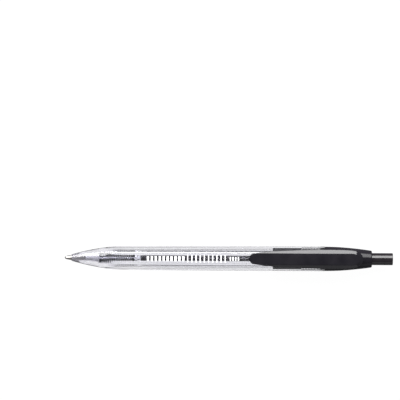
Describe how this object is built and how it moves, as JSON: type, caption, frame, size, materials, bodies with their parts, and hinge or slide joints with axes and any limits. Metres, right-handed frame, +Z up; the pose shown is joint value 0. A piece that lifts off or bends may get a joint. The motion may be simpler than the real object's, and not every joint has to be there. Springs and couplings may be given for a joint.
{
  "type": "retractable ballpoint pen",
  "caption": "Retractable ballpoint pen with a clear hexagonal barrel, black cap, sprung clip, push button and a turning click cam that drives the refill.",
  "frame": {"origin": "on the resting surface, under the middle of the pen's length in the writing state", "axes": "+X from the writing tip to the button, +Z up through the clip, the pen lying on a flat of its barrel"},
  "size_m": [0.142, 0.0106, 0.0134],
  "materials": {
    "clear_plastic": "clear polished polystyrene",
    "black_cap": "polished moulded black",
    "black_clip": "polished moulded black",
    "black_button": "gloss moulded black",
    "black_sleeve": "satin moulded black",
    "cam_plastic": "natural acetal",
    "tube_plastic": "translucent natural plastic",
    "ink": "wet black ink",
    "grease": "clear yellowish grease",
    "neck_plastic": "translucent white plastic",
    "tip_metal": "bright nickel silver, turned",
    "ball_metal": "polished hard metal",
    "spring_steel": "drawn wire"
  },
  "bodies": {
    "barrel": {"barrel": "clear_plastic", "tail_cap": "black_cap", "guide_sleeve": "black_sleeve", "spring": "spring_steel"},
    "clip": {"clip": "black_clip"},
    "button": {"push_button": "black_button"},
    "refill": {"refill_tube": "tube_plastic", "ink_column": "ink", "grease_follower": "grease", "refill_neck": "neck_plastic", "tip_cone": "tip_metal"},
    "cam": {"rotary_cam": "cam_plastic"},
    "ball": {"tip_ball": "ball_metal"}
  },
  "joints": [
    {"name": "button_press", "type": "slide", "parent": "barrel", "child": "button", "axis": [1, 0, 0], "range_m": [-0.0012, 0.0053], "stiffness_N_per_m": 120},
    {"name": "refill_slide", "type": "slide", "parent": "barrel", "child": "refill", "axis": [1, 0, 0], "range_m": [-0.0012, 0.0053], "deforming": ["spring"]},
    {"name": "cam_turn", "type": "hinge", "parent": "refill", "child": "cam", "pos_m": [0.038, 0, 0.00475], "axis": [1, 0, 0], "range_deg": [-8.4, 36.8]},
    {"name": "clip_flex", "type": "hinge", "parent": "barrel", "child": "clip", "pos_m": [0.0576, 0, 0.0089], "axis": [0, 1, 0], "range_deg": [0, 4], "stiffness_Nm_per_rad": 1},
    {"name": "ball_roll", "type": "hinge", "parent": "refill", "child": "ball", "pos_m": [-0.0705, 0, 0.00475], "axis": [0, 1, 0], "continuous": true}
  ],
  "couplings": [
    {"joint": "refill_slide", "follows": "button_press", "ratio": 1},
    {"joint": "cam_turn", "follows": "button_press", "rad_per_m": 120.83}
  ]
}
